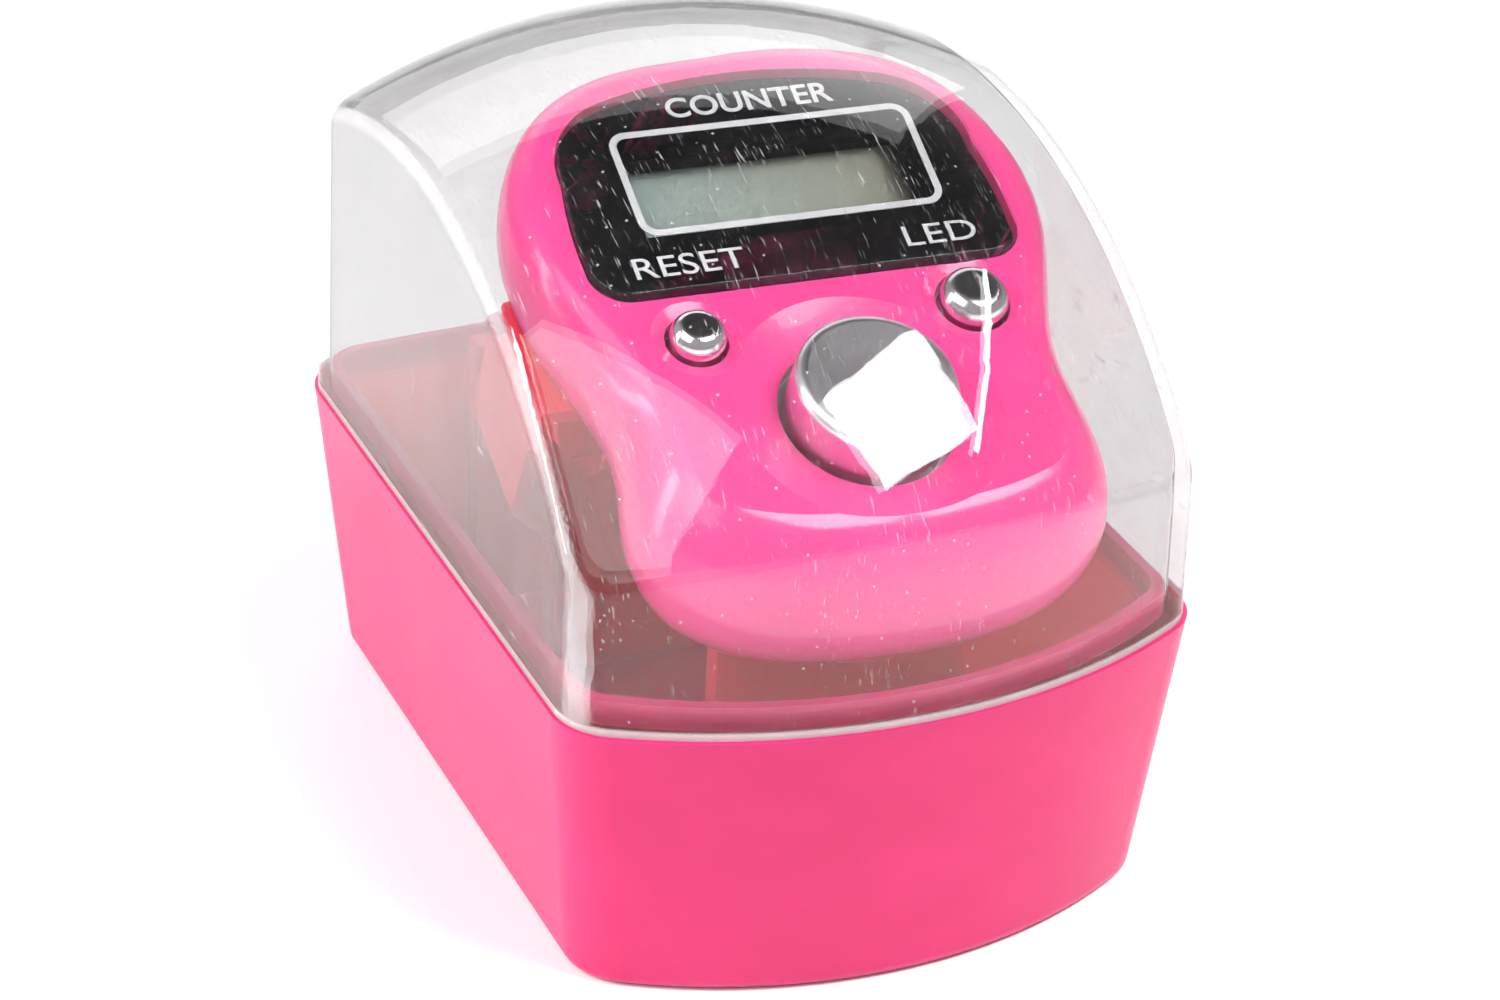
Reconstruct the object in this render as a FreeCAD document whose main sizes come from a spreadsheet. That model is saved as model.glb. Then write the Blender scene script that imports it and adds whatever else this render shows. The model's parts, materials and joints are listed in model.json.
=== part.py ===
import FreeCAD, Part
import math
import os
import Sketcher

# Hand tally counter strapped in its presentation case.
# Row frame: millimetres, +Z up, +X to the right of someone facing the display, origin at the middle
# of the tray's resting face. The counter is drawn in its own frame (X across, Y up the display,
# Z out of the lens) and every one of its pieces gets the same placement in the case.

SIZES = {
    # case: plan at the rim
    "case_width": 38.0,
    "case_length": 45.5,
    "front_bulge": 5.5,
    "back_bulge": 0.6,
    "corner_radius": 4.0,
    # base tray
    "tray_height": 17.3,
    "tray_draft": 1.65,
    "tray_floor": 1.4,
    "foot_round": 0.8,
    "lip_height": 1.4,
    "lip_wall": 0.6,
    "mouth_depth": 0.5,
    # clear cover
    "cover_step": 0.25,
    "cover_wall": 0.9,
    "cover_fit": 0.08,
    "cover_draft": 0.4,
    "roof_side_top": 38.9,
    "roof_side_radius": 33.2,
    "roof_side_centre": 4.6,
    "roof_middle_top": 43.7,
    "roof_middle_radius": 40.0,
    "roof_middle_centre": 3.4,
    "roof_round": 1.8,
    # strap bridge and back stop on the tray floor
    "bridge_width": 15.2,
    "bridge_front": -16.4,
    "bridge_back": 9.6,
    "bridge_wall": 1.4,
    "stop_width": 18.0,
    "stop_wall": 1.6,
    "stop_height": 19.4,
    # counter: place of the lens centre in the case
    "counter_x": 0.97,
    "counter_y": -3.05,
    "counter_z": 38.47,
    "counter_tilt": 25.2,
    "counter_twist": -2.1,
    # counter: plan at its widest level
    "head_half": 15.5,
    "waist_half": 13.2,
    "lobe_half": 13.8,
    "top_end": 10.8,
    "front_end": -27.6,
    "head_level": -4.0,
    "waist_level": -14.0,
    "lobe_level": -19.0,
    "head_power": 2.85,
    "lobe_power": 2.4,
    # counter: heights along its own Z
    "face_level": -0.6,
    "parting_level": -6.2,
    "under_level": -12.6,
    "shell_wall": 1.3,
    "face_wall": 1.6,
    # lens and display
    "lens_half": 12.75,
    "lens_shoulder": 12.3,
    "lens_top": 8.1,
    "lens_bottom": -7.2,
    "lens_thick": 1.3,
    "lens_fit": 0.06,
    "mask_thick": 0.1,
    "window_half_width": 8.3,
    "window_half_height": 2.75,
    "window_y": 0.35,
    "window_ledge": 0.7,
    "glass_half_width": 9.6,
    "glass_half_height": 4.2,
    "glass_thick": 0.8,
    "reflector_thick": 0.15,
    "bezel_wall": 0.7,
    "connector_width": 1.0,
    # circuit board
    "board_half_width": 10.6,
    "board_fit": 0.25,
    "board_level": -5.0,
    "board_thick": 0.7,
    "board_corner": 2.0,
    "resin_ball": 4.2,
    "resin_height": 1.6,
    "resin_y": 1.2,
    "crystal_radius": 0.75,
    "crystal_length": 5.0,
    "crystal_y": -20.2,
    "chip_half_length": 0.8,
    "chip_half_width": 0.4,
    "chip_height": 0.6,
    "chip_x": 8.4,
    "lamp_x_place": 6.5,
    "lamp_half_length": 1.0,
    "lamp_half_width": 0.6,
    "lamp_height": 0.8,
    # count button
    "count_y": -16.24,
    "count_radius": 4.6,
    "count_hole_fit": 0.38,
    "count_top": 1.96,
    "count_round": 0.7,
    "dish_radius": 7.7,
    "dish_depth": 0.9,
    "count_travel": 0.9,
    # reset and lamp buttons
    "reset_x": -7.98,
    "reset_y": -10.22,
    "reset_radius": 1.6,
    "lamp_x": 8.46,
    "lamp_y": -9.94,
    "lamp_radius": 1.95,
    "small_top": 0.55,
    "small_hole_fit": 0.2,
    "small_dish_margin": 1.0,
    "small_dish_depth": 0.45,
    "small_travel": 0.5,
    # plungers under the caps
    "flange_thick": 0.7,
    "flange_margin": 0.7,
    "flange_gap": 0.15,
    "stem_radius": 1.1,
    "pad_thick": 0.1,
    "pad_margin": 0.2,
    "stem_gap": 0.05,
    "dome_wall": 0.35,
    "dome_fit": 0.4,
    "dome_flare": 0.55,
    # battery
    "cell_radius": 5.8,
    "cell_height": 3.05,
    "cell_y": -8.0,
    "cell_gap": 0.1,
    "door_radius": 6.2,
    "door_fit": 0.1,
    "door_thick": 1.2,
    "door_recess": 0.1,
    "coin_slot_half": 4.3,
    "coin_slot_width": 1.0,
    "coin_slot_depth": 0.5,
    "ring_wall": 0.8,
    "ring_fit": 0.1,
    "cell_round": 0.3,
    "contact_reach": 3.0,
    "contact_thick": 0.2,
    "contact_width": 2.4,
    # screws
    "screw_radius": 0.75,
    "screw_head_radius": 1.35,
    "screw_head_height": 1.0,
    "screw_length": 4.6,
    "boss_radius": 1.75,
    "boss_margin": 0.3,
    "screw_top_y": 7.2,
    "screw_front_y": -24.1,
    "screw_seat_depth": 1.6,
    "screw_bite": 1.2,
    "drive_half": 0.9,
    "drive_width": 0.3,
    "drive_depth": 0.45,
    # strap
    "strap_width": 8.0,
    "strap_thick": 1.0,
    "strap_y": -5.0,
    "strap_level": -7.8,
    "strap_inner": 11.0,
    "strap_side": 15.0,
    "strap_bottom": -23.7,
    "strap_gap": 0.15,
    "strap_bead": 1.4,
    "strap_bend_rise": 7.5,
    "strap_bend_run": 6.5,
    "strap_overlap": 6.5,
    "strap_slot_fit": 0.1,
    "slot_inner": 9.5,
    "peg_radius": 0.95,
    "peg_pitch": 3.0,
    "peg_head_margin": 0.5,
    "peg_head_height": 0.7,
}

# Cells worked out from the others.
LINKED_SIZES = {
    "screw_front": "=min(screw_front_y; count_y - count_radius - flange_margin - boss_radius - board_fit)",
    "rim_inset": "=cover_step + cover_wall + cover_fit",
    "glass_top": "=face_level - face_wall",
    "glass_bottom": "=glass_top - glass_thick",
}

Vector = FreeCAD.Vector
document = FreeCAD.newDocument("tally_counter")
sheet = document.addObject("Spreadsheet::Sheet", "sizes")
for row, (alias, content) in enumerate({**SIZES, **LINKED_SIZES}.items(), start=1):
    sheet.set(f"A{row}", alias)
    sheet.set(f"B{row}", str(content))
    sheet.setAlias(f"B{row}", alias)
document.recompute()

nodes = []

ROOF_ARC_SHARE = 0.97  # part of the roof's radius that its arc spans to each side of its crest
SMALL = 1e-6
CLEAR_OF_ALL = 5  # height that passes beyond every piece of the counter
CHIP_ROWS = (-17.5, -15.5, 1.5)  # places of the small parts up the board


def size(alias):
    """Value of one cell of the sheet."""
    return float(sheet.get(alias))


def value(expression):
    """Number that an expression of sheet cells comes to."""
    return float(sheet.evalExpression(expression))


# --- small builders shared by the sub-parts ---


def counter_placement():
    """Place of the counter's own frame in the case."""
    base = Vector(size("counter_x"), size("counter_y"), size("counter_z"))
    tilt = FreeCAD.Rotation(Vector(1, 0, 0), size("counter_tilt"))
    twist = FreeCAD.Rotation(Vector(0, 0, 1), size("counter_twist"))
    return FreeCAD.Placement(base, tilt.multiply(twist))


def finish(subpart, name, in_counter):
    """Name a sub-part, put it in place and list it for writing."""
    subpart.Label = name
    subpart.Placement = counter_placement() if in_counter else FreeCAD.Placement()
    nodes.append(subpart)
    return subpart


def make_body(name):
    body = document.addObject("PartDesign::Body", name + "_body")
    body.AllowCompound = True
    return body


def solid_feature(name, shape, in_counter):
    """Sub-part whose curved faces are made with Part's own functions."""
    feature = document.addObject("Part::Feature", name + "_shape")
    feature.Shape = shape
    return finish(feature, name, in_counter)


def bind(feature, expressions):
    for path, expression in expressions.items():
        feature.setExpression(path, expression)
    return feature


def cylinder(body, radius, bottom, top, across="0", along="0", cut=False):
    """Upright cylinder of a body, between two levels."""
    kind = "Subtractive" if cut else "Additive"
    feature = body.newObject(f"PartDesign::{kind}Cylinder", f"{body.Name}_cylinder")
    return bind(feature, {
        "Radius": radius,
        "Height": f"({top}) - ({bottom})",
        "Placement.Base.x": across,
        "Placement.Base.y": along,
        "Placement.Base.z": bottom,
    })


def block(body, low, high, cut=False):
    """Box of a body between two corners, each given as three expressions."""
    kind = "Subtractive" if cut else "Additive"
    feature = body.newObject(f"PartDesign::{kind}Box", f"{body.Name}_box")
    sides = dict(zip(("Length", "Width", "Height"), zip(low, high)))
    links = {side: f"({end}) - ({start})" for side, (start, end) in sides.items()}
    links.update({f"Placement.Base.{axis}": start for axis, start in zip("xyz", low)})
    return bind(feature, links)


def round_edges(body, radius, chosen):
    """Fillet the edges of the body's newest feature that pass a test."""
    document.recompute()
    tip = body.Tip
    names = [f"Edge{i}" for i, edge in enumerate(tip.Shape.Edges, start=1) if chosen(edge)]
    fillet = body.newObject("PartDesign::Fillet", f"{body.Name}_round")
    fillet.Base = (tip, names)
    return bind(fillet, {"Radius": radius})


def circle_at(level):
    """Test for a round edge that lies at one level."""
    return lambda edge: (
        abs(edge.BoundBox.ZMin - level) < SMALL
        and edge.BoundBox.ZLength < SMALL
        and edge.Length > 1
    )


# --- plan of the case ---


def case_plan(inset, level):
    """Plan of the case moved in by an amount: two straight sides, an arched front and back."""
    half_width = size("case_width") / 2 - inset
    half_length = size("case_length") / 2 - inset
    back_left = Vector(-half_width, half_length, level)
    front_left = Vector(-half_width, -half_length, level)
    front_right = Vector(half_width, -half_length, level)
    back_right = Vector(half_width, half_length, level)
    front = Vector(0, -half_length - size("front_bulge"), level)
    back = Vector(0, half_length + size("back_bulge"), level)
    return Part.Wire([
        Part.LineSegment(back_left, front_left).toShape(),
        Part.Arc(front_left, front, front_right).toShape(),
        Part.LineSegment(front_right, back_right).toShape(),
        Part.Arc(back_right, back, back_left).toShape(),
    ])


def case_prism(low_inset, low_level, high_inset, high_level, corner):
    """Tapered solid on the case plan with rounded upright corners."""
    solid = Part.makeLoft([case_plan(low_inset, low_level), case_plan(high_inset, high_level)], True, True)
    height = high_level - low_level
    upright = [edge for edge in solid.Edges if edge.BoundBox.ZLength > 0.9 * height]
    return solid.makeFillet(corner, upright)


def make_base_tray():
    """Tray with drafted walls and the lip that the cover drops over."""
    wall = size("rim_inset") + size("lip_wall")
    rim = size("tray_height")
    corner = size("corner_radius")
    outer = case_prism(size("tray_draft"), 0, 0, rim, corner)
    sole = [edge for edge in outer.Edges if edge.BoundBox.ZMax < SMALL]
    outer = outer.makeFillet(size("foot_round"), sole)
    lip_top = rim + size("lip_height")
    lip = case_prism(size("rim_inset"), rim, size("rim_inset"), lip_top, corner - size("rim_inset"))
    floor = size("tray_floor")
    slope = size("tray_draft") / rim
    straight = rim - size("mouth_depth")
    foot_inset = wall + slope * (rim - floor)
    hollow = case_prism(foot_inset, floor, wall + slope * (rim - straight), straight, corner - wall)
    mouth = case_prism(wall, straight, wall, lip_top + 1, corner - wall)
    solid_feature("base_tray", outer.fuse(lip).cut(hollow.fuse(mouth)), False)


def roof_profile(across, top, radius, centre, inset):
    """Closed side profile of the space under the arched roof, at one place across."""
    reach = ROOF_ARC_SHARE * (radius - inset)
    crest = Vector(across, centre, top - inset)
    spring = top - radius + math.sqrt((radius - inset) ** 2 - reach ** 2)
    front = Vector(across, centre - reach, spring)
    back = Vector(across, centre + reach, spring)
    front_foot = Vector(across, centre - reach, -1)
    back_foot = Vector(across, centre + reach, -1)
    return Part.Wire([
        Part.Arc(front, crest, back).toShape(),
        Part.LineSegment(back, back_foot).toShape(),
        Part.LineSegment(back_foot, front_foot).toShape(),
        Part.LineSegment(front_foot, front).toShape(),
    ])


def cover_block(inset, rounding):
    """Solid inside one face of the cover: case plan below, crowned arch above."""
    half_width = size("case_width") / 2
    side = (size("roof_side_top"), size("roof_side_radius"), size("roof_side_centre"))
    middle = (size("roof_middle_top"), size("roof_middle_radius"), size("roof_middle_centre"))
    depth = inset - size("cover_step")
    profiles = [
        roof_profile(-half_width, *side, depth),
        roof_profile(0, *middle, depth),
        roof_profile(half_width, *side, depth),
    ]
    rim = size("tray_height")
    top = size("roof_middle_top") + CLEAR_OF_ALL
    prism = case_prism(inset, rim, inset + size("cover_draft"), top, size("corner_radius") - inset)
    arch = prism.common(Part.makeLoft(profiles, True, False)).Solids[0]
    return arch.makeFillet(rounding, [edge for edge in arch.Edges if edge.BoundBox.ZMin > rim + CLEAR_OF_ALL])


def make_clear_cover():
    """Clear lid of even wall that stands on the rim, outside the lip."""
    outer = cover_block(size("cover_step"), size("roof_round"))
    inner_inset = size("cover_step") + size("cover_wall")
    inner = cover_block(inner_inset, size("roof_round") - size("cover_wall"))
    solid_feature("clear_cover", outer.cut(inner), False)


# --- strap bridge and back stop ---


def from_counter(point):
    """Place in the case of a point of the counter's frame."""
    return counter_placement().multVec(point)


def make_strap_bridge():
    """Arch with a sloping top that carries the counter; the strap goes round its top."""
    wall = size("bridge_wall")
    floor = size("tray_floor")
    tilt = math.radians(size("counter_tilt"))
    anchor = from_counter(Vector(0, 0, size("under_level")))
    slope = math.tan(tilt)

    def deck(along, drop=0.0):
        return Vector(0, along, anchor.z + (along - anchor.y) * slope - drop)

    front = size("bridge_front")
    back = size("bridge_back")
    drop = wall / math.cos(tilt)
    outline = [
        Vector(0, front, floor),
        deck(front),
        deck(back),
        Vector(0, back, floor),
        Vector(0, back - wall, floor),
        deck(back - wall, drop),
        deck(front + wall, drop),
        Vector(0, front + wall, floor),
    ]
    half = size("bridge_width") / 2
    profile = Part.Face(Part.makePolygon(outline + outline[:1]))
    profile.translate(Vector(-half, 0, 0))
    arch = profile.extrude(Vector(2 * half, 0, 0))
    solid_feature("strap_bridge", arch, False)


def make_back_stop():
    """Tab that stands on the tray floor against the back wall."""
    body = make_body("back_stop")
    floor_back = "(sizes.case_length / 2 - sizes.rim_inset - sizes.lip_wall - sizes.tray_draft)"
    half = "sizes.stop_width / 2"
    block(
        body,
        (f"-{half}", f"{floor_back} - sizes.stop_wall", "sizes.tray_floor"),
        (half, floor_back, "sizes.stop_height"),
    )
    finish(body, "back_stop", False)


# --- counter shells ---


def pebble_section(level, head_in, lobe_in, top_in, front_in):
    """Plan of the counter at one level: broad head, waist and rounded lobe, as one closed curve."""
    head = size("head_half") - head_in
    waist = size("waist_half") - (head_in + lobe_in) / 2
    lobe = size("lobe_half") - lobe_in
    head_level = size("head_level")
    lobe_level = size("lobe_level")
    rise = size("top_end") - top_in - head_level
    fall = lobe_level - size("front_end") - front_in
    half = []
    for degrees in (90, 68, 48, 26, 0):
        angle = math.radians(degrees)
        power = 2 / size("head_power")
        half.append((head * math.cos(angle) ** power, head_level + rise * math.sin(angle) ** power))
    half.append((waist, size("waist_level")))
    for degrees in (0, 26, 48, 68, 90):
        angle = math.radians(degrees)
        power = 2 / size("lobe_power")
        half.append((lobe * math.cos(angle) ** power, lobe_level - fall * math.sin(angle) ** power))
    right = [Vector(x, y, level) for x, y in half]
    left = [Vector(-x, y, level) for x, y in half[-2:0:-1]]
    curve = Part.BSplineCurve()
    curve.interpolate(Points=right + left, PeriodicFlag=True)
    return Part.Wire([curve.toShape()])


def pebble(levels):
    """Smooth solid through plan sections."""
    return Part.makeLoft([pebble_section(*row) for row in levels], True, False)


def outer_pebble():
    """Outside of the two shells: flat face, rounded shoulder, bowl and small flat underside.

    Each row is a level, then how far the head, the lobe, the top end and the front end lie inside
    the widest plan there.
    """
    face = size("face_level")
    under = size("under_level")
    parting = size("parting_level")
    return pebble([
        (face, 2.1, 3.0, 1.9, 4.6),
        (face - 0.85, 0.6, 1.7, 0.6, 2.7),
        (face - 2.8, 0.0, 0.4, 0.0, 1.0),
        (parting, 0.3, 0.0, 0.3, 0.0),
        (parting - 2.8, 2.0, 0.9, 2.2, 0.7),
        (under + 1.4, 4.9, 3.4, 5.0, 3.2),
        (under, 8.3, 6.4, 8.6, 7.0),
    ])


def inner_pebble():
    """Hollow of the two shells, one wall inside their outside."""
    face = size("face_level") - size("face_wall")
    under = size("under_level") + size("shell_wall")
    parting = size("parting_level")
    wall = size("shell_wall")
    return pebble([
        (face, wall + 1.2, wall + 2.0, wall + 1.0, wall + 2.6),
        (face - 1.2, wall + 0.2, wall + 0.6, wall + 0.2, wall + 1.0),
        (parting, wall + 0.3, wall, wall + 0.3, wall),
        (parting - 2.6, wall + 2.0, wall + 1.1, wall + 2.2, wall + 0.9),
        (under, wall + 5.4, wall + 4.0, wall + 5.6, wall + 4.0),
    ])


def half_space(low, high):
    """Slab of the counter's frame between two levels, wider than the counter."""
    reach = 4 * size("head_half")
    middle = (size("top_end") + size("front_end")) / 2
    return Part.makeBox(reach, reach, high - low, Vector(-reach / 2, middle - reach / 2, low))


def rod(radius, bottom, top, across=0.0, along=0.0):
    """Upright cylinder in the counter's frame."""
    return Part.makeCylinder(radius, top - bottom, Vector(across, along, bottom))


def slab(low, high):
    """Box between two corners given as three numbers."""
    sides = [end - start for start, end in zip(low, high)]
    return Part.makeBox(*sides, Vector(*low))


def dish(across, along, radius, depth, level):
    """Shallow ball-shaped dish cut into the face."""
    ball = (radius ** 2 + depth ** 2) / (2 * depth)
    return Part.makeSphere(ball, Vector(across, along, level - depth + ball))


def lens_outline(margin, level):
    """Arch-shaped lens: flat foot, rounded corners, bowed sides and top."""
    half = size("lens_half") + margin
    shoulder = size("lens_shoulder") + margin
    top = size("lens_top") + margin
    foot = size("lens_bottom") - margin

    def point(x, y):
        return Vector(x, y, level)

    def right_side():
        return [
            (point(0.82 * half, foot), point(0.955 * half, foot + 0.75), point(half, foot + 2.5)),
            (point(half, foot + 2.5), point(half - 0.05, foot + 5.5), point(shoulder, foot + 8.5)),
            (point(shoulder, foot + 8.5), point(0.88 * half, top - 3.2), point(0.63 * half, top - 1.1)),
        ]

    def mirrored(arc):
        return [Vector(-corner.x, corner.y, corner.z) for corner in reversed(arc)]

    right = right_side()
    crown = (right[-1][2], point(0, top), mirrored([right[-1][2]])[0])
    arcs = right + [crown] + [mirrored(arc) for arc in reversed(right)]
    edges = [Part.Arc(*arc).toShape() for arc in arcs]
    edges.append(Part.LineSegment(arcs[-1][2], arcs[0][0]).toShape())
    return Part.Wire(edges)


def lens_plate(margin, low, high):
    return Part.Face(lens_outline(margin, low)).extrude(Vector(0, 0, high - low))


def lens_seat_level():
    return -size("lens_thick") - size("mask_thick")


def window(half_width, half_height, low, high):
    """Upright block over the display window."""
    middle = size("window_y")
    return slab((-half_width, middle - half_height, low), (half_width, middle + half_height, high))


def small_buttons():
    """Place and radius of the reset and lamp buttons."""
    return {
        "reset": (size("reset_x"), size("reset_y"), size("reset_radius")),
        "lamp": (size("lamp_x"), size("lamp_y"), size("lamp_radius")),
    }


def make_upper_shell():
    """Upper half: face with dishes, button holes, lens seat and display window."""
    face = size("face_level")
    parting = size("parting_level")
    shell = outer_pebble().common(half_space(parting, CLEAR_OF_ALL)).cut(inner_pebble())
    count_y = size("count_y")
    shell = shell.cut(dish(0, count_y, size("dish_radius"), size("dish_depth"), face))
    shell = shell.cut(rod(size("count_radius") + size("count_hole_fit"), parting, CLEAR_OF_ALL, 0, count_y))
    for across, along, radius in small_buttons().values():
        dish_radius = radius + size("small_dish_margin")
        shell = shell.cut(dish(across, along, dish_radius, size("small_dish_depth"), face))
        shell = shell.cut(rod(radius + size("small_hole_fit"), parting, CLEAR_OF_ALL, across, along))
    shell = shell.cut(lens_plate(size("lens_fit"), lens_seat_level(), CLEAR_OF_ALL))
    ledge = size("window_ledge")
    half_width = size("window_half_width") + ledge
    half_height = size("window_half_height") + ledge
    shell = shell.cut(window(half_width, half_height, parting, 0))
    roof_under = face - size("face_wall")
    for along in (size("screw_top_y"), size("screw_front")):
        boss = rod(size("boss_radius"), parting, roof_under + size("boss_margin"), 0, along)
        boss = boss.common(outer_pebble())
        pilot = rod(size("screw_radius"), parting, screw_end(), 0, along)
        shell = shell.fuse(boss).cut(pilot)
    solid_feature("upper_shell", shell, True)


def screw_end():
    """Level of the tips of the case screws."""
    return size("parting_level") - size("screw_bite") + size("screw_length") - size("screw_head_height")


def screw_seat():
    """Level at which the screw heads bear on the lower shell."""
    return size("parting_level") - size("screw_seat_depth")


def make_lower_shell():
    """Lower half: bowl with the battery hole, screw wells and slots for the strap ends."""
    parting = size("parting_level")
    under = size("under_level")
    below = under - CLEAR_OF_ALL
    shell = outer_pebble().common(half_space(below, parting)).cut(inner_pebble())
    for along in (size("screw_top_y"), size("screw_front")):
        boss = rod(size("boss_radius") + size("boss_margin"), under, parting, 0, along).common(outer_pebble())
        shell = shell.fuse(boss)
        shell = shell.cut(rod(size("screw_radius"), under, parting, 0, along))
        well = rod(size("screw_head_radius") + size("door_fit"), below, screw_seat(), 0, along)
        shell = shell.cut(well)
    cell_y = size("cell_y")
    hole_radius = size("door_radius") + size("door_fit")
    shell = shell.cut(rod(hole_radius, below, under + 1.5 * size("shell_wall"), 0, cell_y))
    half_slot = size("strap_width") / 2 + size("strap_slot_fit")
    half_thick = size("strap_thick") / 2 + size("strap_slot_fit")
    for side in (-1, 1):
        near, far = sorted((side * size("slot_inner"), side * 2 * size("slot_inner")))
        low = (near, size("strap_y") - half_slot, size("strap_level") - half_thick)
        high = (far, size("strap_y") + half_slot, size("strap_level") + half_thick)
        shell = shell.cut(slab(low, high))
    solid_feature("lower_shell", shell, True)


# --- lens and display ---


def make_lens():
    plate = lens_plate(0, -size("lens_thick"), 0)
    rim = [edge for edge in plate.Edges if abs(edge.BoundBox.ZMin) < SMALL]
    solid_feature("lens", plate.makeFillet(0.2, rim), True)


def make_lens_mask():
    """Black print behind the lens, with the display window left clear."""
    film = lens_plate(0, lens_seat_level(), -size("lens_thick"))
    opening = window(size("window_half_width"), size("window_half_height"), size("parting_level"), 0)
    solid_feature("lens_mask", film.cut(opening), True)


def make_display():
    """Display glass, its reflector, the frame that holds both and the two rubber connectors."""
    top = size("glass_top")
    bottom = size("glass_bottom")
    under = bottom - size("reflector_thick")
    half_width = size("glass_half_width")
    half_height = size("glass_half_height")
    solid_feature("lcd_glass", window(half_width, half_height, bottom, top), True)
    strip = size("connector_width")
    solid_feature("lcd_reflector", window(half_width, half_height - strip, under, bottom), True)
    wall = size("bezel_wall")
    board_top = size("board_level")
    frame = window(half_width + wall, half_height + wall, board_top, top)
    frame = frame.cut(window(half_width, half_height, board_top, top))
    solid_feature("lcd_bezel", frame, True)
    middle = size("window_y")
    strips = [
        slab((-half_width, middle + side * half_height - shift, board_top),
             (half_width, middle + side * half_height - shift + strip, bottom))
        for side, shift in ((-1, 0), (1, strip))
    ]
    solid_feature("connector_strips", Part.makeCompound(strips), True)


# --- circuit board and its parts ---


def make_circuit_board():
    """Board with rounded corners, between the two screw bosses."""
    body = make_body("circuit_board")
    front = "sizes.screw_front + sizes.boss_radius + sizes.board_fit"
    back = "sizes.screw_top_y - sizes.boss_radius - sizes.board_fit"
    block(
        body,
        ("-sizes.board_half_width", front, "sizes.board_level - sizes.board_thick"),
        ("sizes.board_half_width", back, "sizes.board_level"),
    )
    round_edges(body, "sizes.board_corner", lambda edge: edge.BoundBox.ZLength > 0.5 * size("board_thick"))
    finish(body, "circuit_board", True)


def make_board_parts():
    """Drop of resin over the chip, crystal, small parts and the two lamps beside the display."""
    under = size("board_level") - size("board_thick")
    ball = size("resin_ball")
    blob = Part.makeSphere(ball, Vector(0, size("resin_y"), under - size("resin_height") + ball))
    solid_feature("chip_resin", blob.common(half_space(under - ball, under)), True)
    radius = size("crystal_radius")
    length = size("crystal_length")
    start = Vector(-length / 2, size("crystal_y"), under - radius)
    solid_feature("crystal", Part.makeCylinder(radius, length, start, Vector(1, 0, 0)), True)
    half_length = size("chip_half_length")
    half_width = size("chip_half_width")
    low = under - size("chip_height")
    chips = [
        slab((x - half_length, y - half_width, low), (x + half_length, y + half_width, under))
        for x in (-size("chip_x"), size("chip_x"))
        for y in CHIP_ROWS
    ]
    solid_feature("chip_parts", Part.makeCompound(chips), True)
    level = size("board_level")
    middle = size("window_y")
    half_length = size("lamp_half_length")
    half_width = size("lamp_half_width")
    top = level + size("lamp_height")
    lamps = [
        slab((x - half_length, middle - half_width, level), (x + half_length, middle + half_width, top))
        for x in (-size("lamp_x_place"), size("lamp_x_place"))
    ]
    solid_feature("display_lamps", Part.makeCompound(lamps), True)


def make_contact_pad(name, across, along, radius):
    """Gilt switch pad on the board under a button."""
    body = make_body(name)
    cylinder(body, radius, "sizes.board_level", "sizes.board_level + sizes.pad_thick", across, along)
    finish(body, name, True)


# --- buttons ---


def make_cap(name, radius, top, across, along, rounding):
    """Metal cap with a rounded upper edge, standing on its plunger."""
    body = make_body(name)
    cylinder(body, radius, flange_top(), top, across, along)
    top_level = value(top)
    round_edges(body, rounding, circle_at(top_level))
    finish(body, name, True)


def flange_top():
    return "sizes.face_level - sizes.face_wall - sizes.flange_gap"


def make_plunger(name, radius, across, along, travel, stem):
    """Flange that stays under the face, with a stem that reaches the switch pad at full travel."""
    body = make_body(name)
    flange_bottom = f"{flange_top()} - sizes.flange_thick"
    cylinder(body, f"{radius} + sizes.flange_margin", flange_bottom, flange_top(), across, along)
    stem_end = f"sizes.board_level + sizes.pad_thick + {travel} + sizes.stem_gap"
    cylinder(body, stem, stem_end, flange_bottom, across, along)
    finish(body, name, True)


def make_dome(name, stem, across, along):
    """Rubber dome round a stem that pushes the plunger back out."""
    wall = size("dome_wall")
    level = size("board_level")
    rise = value(flange_top()) - size("flange_thick") - level
    top_radius = stem + size("dome_fit") + wall
    foot_radius = top_radius + size("dome_flare")
    seat = Vector(across, along, level)
    skin = Part.makeCone(foot_radius, top_radius, rise, seat)
    hollow = Part.makeCone(foot_radius - wall, top_radius - wall, rise, seat)
    solid_feature(name, skin.cut(hollow), True)


def make_buttons():
    """Count, reset and lamp buttons: cap, plunger, rubber dome and switch pad of each."""
    rows = (
        ("count", "0", "sizes.count_y", "sizes.count_radius", "sizes.count_top",
         "sizes.count_round", "sizes.count_travel", "sizes.stem_radius * 1.3"),
        ("reset", "sizes.reset_x", "sizes.reset_y", "sizes.reset_radius", "sizes.small_top",
         "sizes.reset_radius * 0.6", "sizes.small_travel", "sizes.stem_radius * 0.7"),
        ("lamp", "sizes.lamp_x", "sizes.lamp_y", "sizes.lamp_radius", "sizes.small_top",
         "sizes.lamp_radius * 0.55", "sizes.small_travel", "sizes.stem_radius * 0.7"),
    )
    for word, across, along, radius, top, rounding, travel, stem in rows:
        make_cap(f"{word}_cap", radius, top, across, along, rounding)
        make_plunger(f"{word}_plunger", radius, across, along, travel, stem)
        make_contact_pad(f"{word}_pad", across, along, f"{stem} + sizes.pad_margin")
        make_dome(f"{word}_dome", value(stem), value(across), value(along))


# --- battery ---


def cell_levels():
    """Lower and upper level of the battery, and the inner level of its door."""
    door_inner = size("under_level") + size("door_recess") + size("door_thick")
    low = door_inner + size("cell_gap")
    return low, low + size("cell_height"), door_inner


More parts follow.
